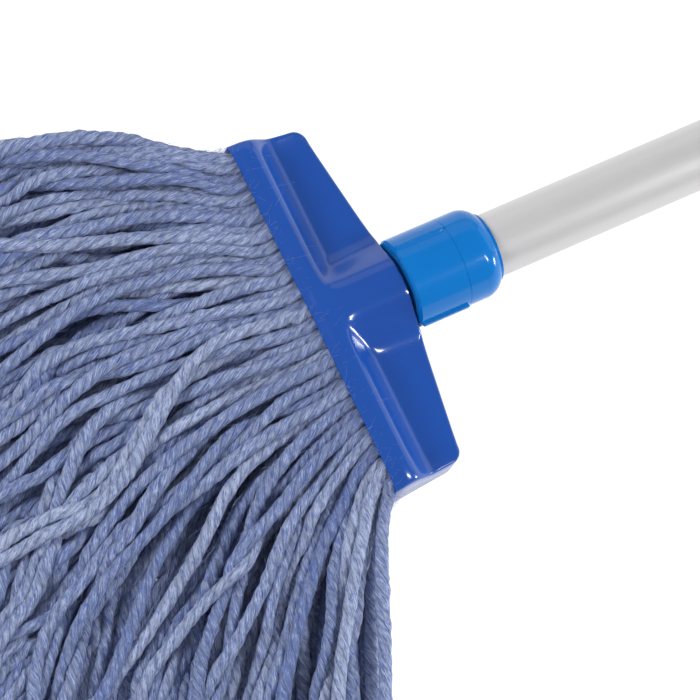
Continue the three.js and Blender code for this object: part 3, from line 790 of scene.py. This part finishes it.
def settle_strands(course, settings, rounds):
    """Lets the strands push each other apart and sink onto the floor, each at its own
    length. The ends in the clip are held."""
    strands, points = course.shape[:2]
    radius = settings.strand_diameter / MM / 2
    apart = 2 * radius * settings.packing
    spacing = np.linalg.norm(np.diff(course, axis=1), axis=2).mean()
    plan = course.copy()
    strand_of = np.repeat(np.arange(strands), points)
    index_of = np.tile(np.arange(points), strands)
    held = index_of.reshape(strands, points) < 3
    free = (~held).astype(float)[..., None]
    count = strands * points
    for turn in range(rounds):
        if turn % 4 == 0:
            pairs = near_pairs(course.reshape(-1, 3), strand_of, index_of, apart * 1.25)
            a, b = pairs[:, 0], pairs[:, 1]
        flat = course.reshape(-1, 3)
        gap = flat[a] - flat[b]
        far = np.maximum(np.linalg.norm(gap, axis=1), 1e-6)
        push = np.maximum(apart - far, 0)[:, None] * gap / far[:, None] * 0.5
        moved = np.zeros((count, 3))
        for k in range(3):
            moved[:, k] = (np.bincount(a, push[:, k], count) - np.bincount(b, push[:, k], count))
        share = np.bincount(a, far < apart, count) + np.bincount(b, far < apart, count)
        moved /= np.maximum(share, 1)[:, None]
        course = course + moved.reshape(course.shape) * 1.3 * free
        course[..., 2] -= settings.sink * free[..., 0]
        course[..., :2] += (plan[..., :2] - course[..., :2]) * 0.02 * free
        # the yarn's stiffness evens out sharp bends
        middle = (course[:, :-2] + course[:, 2:]) / 2
        course[:, 1:-1] += (middle - course[:, 1:-1]) * 0.12 * free[:, 1:-1]
        # every second span and then the others are brought back to their length
        for start in (0, 1):
            p, q = course[:, start:-1:2], course[:, start + 1::2]
            n = min(p.shape[1], q.shape[1])
            step = q[:, :n] - p[:, :n]
            long = np.linalg.norm(step, axis=2, keepdims=True)
            fix = step * (1 - spacing / np.maximum(long, 1e-6)) / 2
            p[:, :n] += fix * free[:, start:-1:2][:, :n]
            q[:, :n] -= fix * free[:, start + 1::2][:, :n]
        # the plies bulge past the radius, so the strands rest a little higher than that
        course[..., 2] = np.maximum(course[..., 2], 1.15 * radius)
    return course


def curved(course, count):
    """Catmull-Rom curves through the strands' points, with count points each."""
    points = course.shape[1]
    padded = np.concatenate([
        2 * course[:, :1] - course[:, 1:2], course, 2 * course[:, -1:] - course[:, -2:-1],
    ], axis=1)
    at = np.linspace(0, points - 1, count)
    i = np.minimum(at.astype(int), points - 2)
    t = (at - i)[None, :, None]
    p0, p1, p2, p3 = (padded[:, i + k] for k in range(4))
    return 0.5 * (2 * p1 + (p2 - p0) * t + (2 * p0 - 5 * p1 + 4 * p2 - p3) * t ** 2
                  + (3 * p1 - p0 - 3 * p2 + p3) * t ** 3)


def cross_frames(lines):
    """Two directions square to every strand that don't twist along it."""
    tangent = np.gradient(lines, axis=1)
    tangent /= np.linalg.norm(tangent, axis=2, keepdims=True)
    side = np.zeros_like(lines)
    first = np.cross(tangent[:, 0], [0.0, 0.0, 1.0])
    side[:, 0] = first / np.linalg.norm(first, axis=1, keepdims=True)
    for i in range(1, lines.shape[1]):
        carried = side[:, i - 1] - (side[:, i - 1] * tangent[:, i]).sum(1, keepdims=True) * tangent[:, i]
        side[:, i] = carried / np.linalg.norm(carried, axis=1, keepdims=True)
    return side, np.cross(tangent, side)


def strand_surfaces(lines, settings, rng):
    """Ring points of every strand: plies wound round it, a little uneven along it."""
    strands, rings = lines.shape[:2]
    plies, per_ply = settings.ply_count, settings.columns_per_ply
    columns = plies * per_ply
    side, other = cross_frames(lines)
    reach = np.concatenate([
        np.zeros((strands, 1)), np.cumsum(np.linalg.norm(np.diff(lines, axis=1), axis=2), axis=1),
    ], axis=1)
    size = settings.strand_diameter / MM / 2 * rng.uniform(0.9, 1.08, strands)
    knots = np.linspace(0, reach[0, -1], 16)
    swell = np.stack([np.interp(r, knots, rng.normal(1, 0.045, 16)) for r in reach])
    twist = np.stack([np.interp(r, knots, np.cumsum(rng.normal(1, 0.22, 16))) for r in reach])
    twist = twist / twist[:, -1:] * reach[:, -1:] / (settings.twist_pitch / MM)
    column = np.arange(columns)
    crown = np.abs(np.sin(np.pi * column / per_ply))
    lobe = 1 - settings.groove * (1 - crown ** 0.8)
    start = rng.random(strands)[:, None, None]
    angle = 2 * np.pi * (column[None, None] / columns - twist[..., None] + start)
    lumps = 1 + rng.normal(0, settings.lumps, (strands, rings, plies)).repeat(per_ply, axis=2)
    lumps = (lumps + np.roll(lumps, 1, axis=1) + np.roll(lumps, 1, axis=2)) / 3
    radius = size[:, None, None] * swell[..., None] * lobe * lumps
    ring = side[:, :, None] * np.cos(angle)[..., None] + other[:, :, None] * np.sin(angle)[..., None]
    return lines[:, :, None] + ring * radius[..., None], reach, size


def yarn_mesh(name, surfaces, lines, reach, tones, plies):
    """One mesh of several strands, closed at both ends, with UV along each strand."""
    strands, rings, columns = surfaces.shape[:3]
    per = rings * columns + 2
    points = np.concatenate([
        surfaces.reshape(strands, -1, 3), lines[:, :1], lines[:, -1:],
    ], axis=1).reshape(-1, 3) * MM
    r, c = np.meshgrid(np.arange(rings - 1), np.arange(columns), indexing="ij")
    here, after = r * columns + c, r * columns + (c + 1) % columns
    quads = np.stack([here, here + columns, after + columns, after], axis=-1).reshape(-1, 4)
    across = np.stack([c, c, c + 1, c + 1], axis=-1).reshape(-1, 4) / columns * plies
    ring_of = np.stack([r, r + 1, r + 1, r], axis=-1).reshape(-1, 4)
    end = np.arange(columns)
    head = np.stack([np.full(columns, rings * columns), end, (end + 1) % columns], axis=1)
    base = (rings - 1) * columns
    tip = np.full(columns, rings * columns + 1)
    tail = np.stack([tip, base + (end + 1) % columns, base + end], axis=1)
    fans = np.concatenate([head, tail])
    shift = (np.arange(strands) * per)[:, None, None]
    all_quads = (quads[None] + shift).reshape(-1)
    all_fans = (fans[None] + shift).reshape(-1)
    mesh = bpy.data.meshes.new(name)
    mesh.vertices.add(len(points))
    mesh.vertices.foreach_set("co", points.astype(np.float32).ravel())
    corners = np.concatenate([all_quads, all_fans])
    mesh.loops.add(len(corners))
    mesh.loops.foreach_set("vertex_index", corners.astype(np.int32))
    starts = np.concatenate([
        np.arange(0, len(all_quads), 4), len(all_quads) + np.arange(0, len(all_fans), 3),
    ])
    mesh.polygons.add(len(starts))
    mesh.polygons.foreach_set("loop_start", starts.astype(np.int32))
    mesh.update(calc_edges=True)
    uv = np.zeros((len(corners), 2), np.float32)
    v = np.stack([reach[s][ring_of] for s in range(strands)])
    # each strand reads the pattern 37 mm further on
    offset = np.arange(strands)[:, None, None] * 37.0
    uv[:len(all_quads), 0] = np.broadcast_to(across, v.shape).reshape(-1)
    uv[:len(all_quads), 1] = (v + offset).reshape(-1)
    layer = mesh.uv_layers.new(name="strand")
    layer.data.foreach_set("uv", uv.ravel())
    tone = mesh.attributes.new("tone", "FLOAT", "POINT")
    tone.data.foreach_set("value", np.repeat(tones, per).astype(np.float32))
    mesh.shade_smooth()
    made = bpy.data.objects.new(name, mesh)
    bpy.context.scene.collection.objects.link(made)
    return made


def fibre_mesh(name, root, out, along, length, rng, thickness, joints):
    """Fine tapered hairs that leave the yarn at root and bend as they go."""
    count = len(root)
    bend = rng.normal(0, 0.7, (count, 3))
    centre = []
    for j in range(joints):
        t = j / (joints - 1)
        lift = out * (0.45 * t) + along * t + bend * t * t * 0.5
        centre.append(root + lift * length - out * 0.3 * (1 - t))
    centre = np.stack(centre, axis=1)
    # none goes through the floor
    centre[..., 2] = np.maximum(centre[..., 2], 0.1)
    side = np.cross(out, along)
    side /= np.maximum(np.linalg.norm(side, axis=1, keepdims=True), 1e-6)
    thick = thickness / MM / 2 * np.linspace(1, 0.3, joints)
    turn = 2 * np.pi * np.arange(3) / 3
    ring = side[:, None] * np.cos(turn)[:, None] + out[:, None] * np.sin(turn)[:, None]
    points = centre[:, :, None] + ring[:, None] * thick[:, None, None]
    return yarn_mesh(name, points, centre, np.tile(np.arange(joints) * 2.0, (count, 1)),
                     rng.uniform(0.5, 1.0, count), 1)


def loose_fibres(name, lines, surfaces, settings, rng):
    """Short hairs all over the yarn, most of them on its upper side."""
    strands, rings, columns = surfaces.shape[:3]
    # three times too many roots, because those on the lower side are dropped
    wanted = settings.fibre_count * 3
    s = rng.integers(0, strands, wanted)
    r = (rng.random(wanted) ** 1.3 * (rings - 10)).astype(int) + 5
    c = rng.integers(0, columns, wanted)
    out = surfaces[s, r, c] - lines[s, r]
    out /= np.linalg.norm(out, axis=1, keepdims=True)
    keep = np.flatnonzero(out[:, 2] + rng.normal(0, 0.4, wanted) > 0.1)[:settings.fibre_count]
    s, r, c, out = s[keep], r[keep], c[keep], out[keep]
    along = lines[s, r + 4] - lines[s, r - 4]
    along /= np.linalg.norm(along, axis=1, keepdims=True)
    along *= rng.choice([-1.0, 1.0], (len(keep), 1))
    length = rng.uniform(1.2, 5.0, (len(keep), 1)) ** 1.15
    return fibre_mesh(name, surfaces[s, r, c], out, along, length, rng, settings.fibre_thickness, 3)


def lip_haze(surfaces, settings, rng):
    """Fine hairs along the top of the mouth that lie back over the lip of the clip."""
    top = surfaces[:, 4:8].reshape(-1, 3)
    # the highest points of each band of 2.5 mm across the mouth
    band = np.floor(top[:, 1] / 2.5).astype(int)
    order = np.lexsort((-top[:, 2], band))
    starts = np.searchsorted(band[order], np.unique(band))
    per_band = settings.haze_count // len(starts)
    picked = [order[start:start + per_band // HAIRS_PER_ROOT] for start in starts]
    root = np.repeat(top[np.concatenate(picked)], HAIRS_PER_ROOT, axis=0)
    count = len(root)
    root = root + rng.normal(0, 0.5, (count, 3))
    out = np.tile([0.2, 0.0, 1.0], (count, 1)) + rng.normal(0, 0.3, (count, 3))
    out /= np.linalg.norm(out, axis=1, keepdims=True)
    along = np.tile([1.0, 0.0, 0.1], (count, 1)) + rng.normal(0, 0.55, (count, 3)) * [1, 1, 0.3]
    along /= np.linalg.norm(along, axis=1, keepdims=True)
    length = 1.2 + rng.gamma(1.6, 1.1, (count, 1))
    return fibre_mesh("lip_haze", root, out, along, length, rng, settings.fibre_thickness * 0.36, 4)


# ---------------------------------------------------------------- settings

def size_property(name, description, default):
    return FloatProperty(name=name, description=description, default=default,
                         unit="LENGTH", precision=5)


def colour_property(name, description, code):
    return FloatVectorProperty(name=name, description=description, default=linear(code)[:3],
                               subtype="COLOR", min=0, max=1)


class ClipSettings(bpy.types.PropertyGroup):
    paint: colour_property("Enamel", "Colour of the clip's enamel", "#154ea8")
    paint_thick: colour_property("Enamel, thick", "Colour where the film is thickest", "#13499e")


class CollarSettings(bpy.types.PropertyGroup):
    plastic: colour_property("Plastic", "Colour of the collar", "#0075c6")
    plastic_deep: colour_property("Plastic, deep", "Darker tone of the flow mottle", "#006fbe")
    rib_height: size_property("Rib height", "How far the ribs stand proud", 1.2 * MM)
    rib_width: size_property("Rib width", "Width of a rib", 2.2 * MM)


class HandleSettings(bpy.types.PropertyGroup):
    aluminium: colour_property("Aluminium", "Colour of the anodised tube", "#d3d1d0")
    cap: colour_property("Cap", "Colour of the hanging cap", "#1f5fb8")
    cap_deep: colour_property("Cap, deep", "Darker tone of the cap", "#1b56aa")
    nylon: colour_property("Nylon", "Colour of the bushes and the plug", "#e4e4de")
    steel: colour_property("Steel", "Colour of the plated wire and pin", "#b9bcc0")


class YarnSettings(bpy.types.PropertyGroup):
    strand_count: IntProperty(name="Strands", description="Ends that leave the clip", default=230)
    strand_diameter: size_property("Diameter", "Diameter of one strand", 5.2 * MM)
    ply_count: IntProperty(name="Plies", description="Plies in one strand", default=4)
    columns_per_ply: IntProperty(name="Columns", description="Mesh columns on one ply", default=4)
    ring_count: IntProperty(name="Rings", description="Mesh rings along a strand", default=160)
    twist_pitch: size_property("Pitch", "Length of one full turn of the plies", 22 * MM)
    groove: FloatProperty(name="Groove", description="Depth of the grooves, as a share of the radius",
                          default=0.14)
    lumps: FloatProperty(name="Lumps", description="Unevenness of the plies", default=0.09)
    packing: FloatProperty(name="Packing", description="Spacing of strands that touch, in diameters",
                           default=0.86)
    clump: FloatProperty(name="Clump", description="Strands that stray together", default=4.0)
    stray: FloatProperty(name="Stray", description="How far strands stray from the fan", default=1.25)
    sink: FloatProperty(name="Sink", description="Millimetres that strands sink in each round",
                        default=0.22)
    point_spacing: FloatProperty(name="Spacing", description="Millimetres between route points",
                                 default=4.0)
    fibre_count: IntProperty(name="Fibres", description="Loose fibres in one piece", default=9000)
    haze_count: IntProperty(name="Haze", description="Long fibres over the lip", default=6000)
    fibre_pieces: IntProperty(name="Fibre pieces", description="Pieces of loose fibres", default=3)
    fibre_thickness: size_property("Fibre", "Thickness of a loose fibre", 0.19 * MM)
    seed: IntProperty(name="Seed", description="Start of the random numbers", default=7)
    ground: colour_property("Ground", "Main colour of the yarn", "#687aac")
    pale: colour_property("Pale", "Pale fibres", "#bfcae4")
    fleck: colour_property("Fleck", "Deep blue fibres", "#4c60b4")
    fuzz: colour_property("Fuzz", "Single loose fibres", "#a4b2dc")
    grey: colour_property("Grey", "Grey stretches of the yarn", "#8b94a8")
    # painted shade laid into the grooves between the plies, not a colour of the fibres
    shade: colour_property("Shade", "Grooves between the plies", "#2c3760")


class StageSettings(bpy.types.PropertyGroup):
    floor: colour_property("Floor", "Colour of the unlit acrylic", "#606060")
    distance: size_property("Distance", "From the camera to the clip", 2.0)
    field: size_property("Field", "Width that the view takes in at the clip", 263.55 * MM)
    ambient: FloatProperty(name="Ambient", description="Light from all round", default=0.38)
    glow: FloatProperty(name="Glow", description="Light that the floor gives off", default=1.0)
    roll: FloatProperty(name="Roll", description="Tilt of the handle in the view",
                        default=math.radians(23.45), unit="ROTATION")


# ---------------------------------------------------------------- operators

VIEW_FROM = (-0.254, -0.17, 0.95)  # direction from the clip to the camera
NECK_IN_VIEW = (18.18 * MM, 24.36 * MM)  # the clip's neck, right of and above the middle
LIGHT_FOCUS = (0.05, 0, 0)
# Soft boxes: name, place, width, height (m) and how bright their faces are (W/m2/sr)
PANELS = (
    ("key", (0.95, -0.9, 1.26), 0.16, 0.5, 55.0),
    ("yarn_key", (-1.3, 0.7, 1.2), 0.5, 0.5, 26.0),
    ("window", (0.3, 1.9, 0.9), 3.0, 1.2, 0.5),
    ("handle_side", (3.8, 0.8, 1.05), 3.0, 1.6, 0.9),
    ("low_window", (3.6, -1.75, 0.3), 0.8, 0.5, 44.0),
)


def add_light(name, place, target, width, height, radiance):
    """A soft rectangular light that faces a point."""
    data = bpy.data.lights.new(name, "AREA")
    data.shape = "RECTANGLE"
    data.size = width
    data.size_y = height
    data.energy = radiance * math.pi * width * height
    made = bpy.data.objects.new(name, data)
    bpy.context.scene.collection.objects.link(made)
    made.location = place
    made.rotation_euler = (Vector(target) - Vector(place)).to_track_quat("-Z", "Y").to_euler()
    return made


def dress(node, material):
    """Gives a carried-over node its material."""
    mesh = frame["nodes"][node].data
    mesh.materials.clear()
    mesh.materials.append(material)


def finish_yarn(piece, material):
    """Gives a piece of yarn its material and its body."""
    piece.data.materials.append(material)
    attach(piece, "head")


class MOP_OT_stage(bpy.types.Operator):
    """Adds the camera, the floor and the studio light"""
    bl_idname = "mop.stage"
    bl_label = "Stage"

    def execute(self, context):
        settings = context.scene.mop_stage
        scene = context.scene
        back = Vector(VIEW_FROM).normalized()
        level = (AXIS - AXIS.dot(back) * back).normalized()
        rise = back.cross(level)
        cosine, sine = math.cos(settings.roll), math.sin(settings.roll)
        right = cosine * level - sine * rise
        up = sine * level + cosine * rise
        neck = LAID @ Vector((NECK_X, 0, 0))
        aim = neck - right * NECK_IN_VIEW[0] - up * NECK_IN_VIEW[1]
        data = bpy.data.cameras.new("camera")
        camera = bpy.data.objects.new("camera", data)
        scene.collection.objects.link(camera)
        matrix = Matrix((right, up, back)).transposed().to_4x4()
        matrix.translation = aim + back * settings.distance
        camera.matrix_world = matrix
        data.sensor_width = 36
        data.lens = data.sensor_width * settings.distance / settings.field
        data.clip_end = 40
        scene.camera = camera
        scene.view_settings.view_transform = "Standard"

        bm = bmesh.new()
        bmesh.ops.create_grid(bm, x_segments=1, y_segments=1, size=20)
        floor = finished("floor", bm, lit_floor(settings.floor, settings.glow))

        world = bpy.data.worlds.new("studio")
        world.use_nodes = True
        world.node_tree.nodes["Background"].inputs[0].default_value = (0.93, 0.96, 1, 1)
        world.node_tree.nodes["Background"].inputs[1].default_value = settings.ambient
        scene.world = world
        for name, place, width, height, radiance in PANELS:
            add_light(name, place, LIGHT_FOCUS, width, height, radiance)
        return {"FINISHED"}


class MOP_OT_clip(bpy.types.Operator):
    """Builds the pressed front plate and paints the clip"""
    bl_idname = "mop.clip"
    bl_label = "Clip"

    def execute(self, context):
        paint = enamel(context.scene.mop_clip)
        shell = clip_front(paint)
        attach(shell, "head")
        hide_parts("clip_front")
        dress("clip_back", paint)
        return {"FINISHED"}


class MOP_OT_collar(bpy.types.Operator):
    """Builds the two halves of the screw collar"""
    bl_idname = "mop.collar"
    bl_label = "Collar"

    def execute(self, context):
        settings = context.scene.mop_collar
        plastic = moulded("glossy_abs", settings.plastic, settings.plastic_deep,
                          roughness=0.14, grain_mm=0.5, strength=0.03)
        for piece, node in ((collar_nut(plastic, settings), "collar_nut"),
                            (collar_cap(plastic), "collar_cap")):
            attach(piece, "collar")
            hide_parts(node)
        return {"FINISHED"}


class MOP_OT_handle(bpy.types.Operator):
    """Builds the handle tube and its hanging cap"""
    bl_idname = "mop.handle"
    bl_label = "Handle"

    def execute(self, context):
        settings = context.scene.mop_handle
        tube = handle_tube(drawn_metal("anodised_aluminium", settings.aluminium,
                                       roughness=0.4, line_mm=0.25, metallic=0.45))
        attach(tube, "handle")
        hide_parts("handle_tube")
        cap = end_cap(moulded("matt_polypropylene", settings.cap, settings.cap_deep,
                              roughness=0.42, grain_mm=0.4, strength=0.25))
        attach(cap, "handle")
        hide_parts("end_cap")
        return {"FINISHED"}


class MOP_OT_fittings(bpy.types.Operator):
    """Finishes the small inner parts that the frame carries"""
    bl_idname = "mop.fittings"
    bl_label = "Fittings"

    def execute(self, context):
        settings = context.scene.mop_handle
        nylon = moulded("natural_nylon", settings.nylon, settings.nylon,
                        roughness=0.45, grain_mm=0.6, strength=0.15)
        steel = drawn_metal("zinc_plated_steel", settings.steel,
                            roughness=0.32, line_mm=0.15, metallic=1.0)
        for node in ("socket_insert", "thrust_washer", "tip_plug"):
            dress(node, nylon)
        for node in ("cross_wire", "lock_pin"):
            dress(node, steel)
        return {"FINISHED"}


class MOP_OT_yarn(bpy.types.Operator):
    """Lays the strands of yarn, twists their plies and adds loose fibres"""
    bl_idname = "mop.yarn"
    bl_label = "Yarn"

    def execute(self, context):
        settings = context.scene.mop_yarn
        material = spun_yarn(settings)
        fuzz = fibre_fuzz(settings.fuzz)
        rng = np.random.default_rng(settings.seed + 1)
        course = strand_plan(settings)
        course = settle_strands(course, settings, SETTLE_ROUNDS)
        lines = curved(course, settings.ring_count)
        surfaces, reach, size = strand_surfaces(lines, settings, rng)
        tones = np.clip(rng.normal(0.45, 0.11, len(lines)), 0, 1)
        height = lines[:, :settings.ring_count // 2, 2].mean(axis=1)
        lock_of = (np.arange(len(lines)) * LOCK_COUNT) // len(lines)
        single = set()
        for lock in range(LOCK_COUNT):
            members = np.flatnonzero(lock_of == lock)
            single.update(members[np.argsort(-height[members])[:CORDS_PER_LOCK]].tolist())
        for lock in range(LOCK_COUNT):
            members = [i for i in range(len(lines)) if lock_of[i] == lock and i not in single]
            group = yarn_mesh(f"yarn_bundle_{lock + 1}", surfaces[members], lines[members],
                              reach[members], tones[members], settings.ply_count)
            finish_yarn(group, material)
            nodes = [f"yarn_lock_{lock + 1}"] + (["yarn_fold"] if lock == 0 else [])
            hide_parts(*nodes)
        for number, i in enumerate(sorted(single), 1):
            strand = yarn_mesh(f"yarn_strand_{number:02d}", surfaces[[i]], lines[[i]],
                               reach[[i]], tones[[i]], settings.ply_count)
            finish_yarn(strand, material)
        for number in range(1, settings.fibre_pieces + 1):
            hairs = loose_fibres(f"loose_fibres_{number}", lines, surfaces, settings, rng)
            finish_yarn(hairs, fuzz)
        finish_yarn(lip_haze(surfaces, settings, rng), fuzz)
        return {"FINISHED"}


class MOP_PT_panel(bpy.types.Panel):
    """Lists the mop's sizes, colours and building steps"""
    bl_idname = "MOP_PT_panel"
    bl_label = "String mop"
    bl_space_type = "VIEW_3D"
    bl_region_type = "UI"
    bl_category = "Mop"

    def draw(self, context):
        for group, steps in PANEL_ROWS:
            box = self.layout.box()
            settings = getattr(context.scene, group)
            for name in settings.bl_rna.properties.keys():
                if name not in {"rna_type", "name"}:
                    box.prop(settings, name)
            for step in steps:
                box.operator(step)


PANEL_ROWS = (
    ("mop_stage", ("mop.stage",)),
    ("mop_clip", ("mop.clip",)),
    ("mop_collar", ("mop.collar",)),
    ("mop_handle", ("mop.handle", "mop.fittings")),
    ("mop_yarn", ("mop.yarn",)),
)
GROUPS = {
    "mop_stage": StageSettings,
    "mop_clip": ClipSettings,
    "mop_collar": CollarSettings,
    "mop_handle": HandleSettings,
    "mop_yarn": YarnSettings,
}
CLASSES = (
    *GROUPS.values(),
    MOP_OT_stage,
    MOP_OT_clip,
    MOP_OT_collar,
    MOP_OT_handle,
    MOP_OT_fittings,
    MOP_OT_yarn,
    MOP_PT_panel,
)


def register():
    for cls in CLASSES:
        bpy.utils.register_class(cls)
    for name, group in GROUPS.items():
        setattr(bpy.types.Scene, name, PointerProperty(type=group))


def unregister():
    for name in GROUPS:
        delattr(bpy.types.Scene, name)
    for cls in reversed(CLASSES):
        bpy.utils.unregister_class(cls)


def main():
    register()
    bpy.ops.mop.stage()
    bpy.ops.mop.yarn()
    bpy.ops.mop.clip()
    bpy.ops.mop.collar()
    bpy.ops.mop.handle()
    bpy.ops.mop.fittings()


if __name__ == "__main__":
    main()
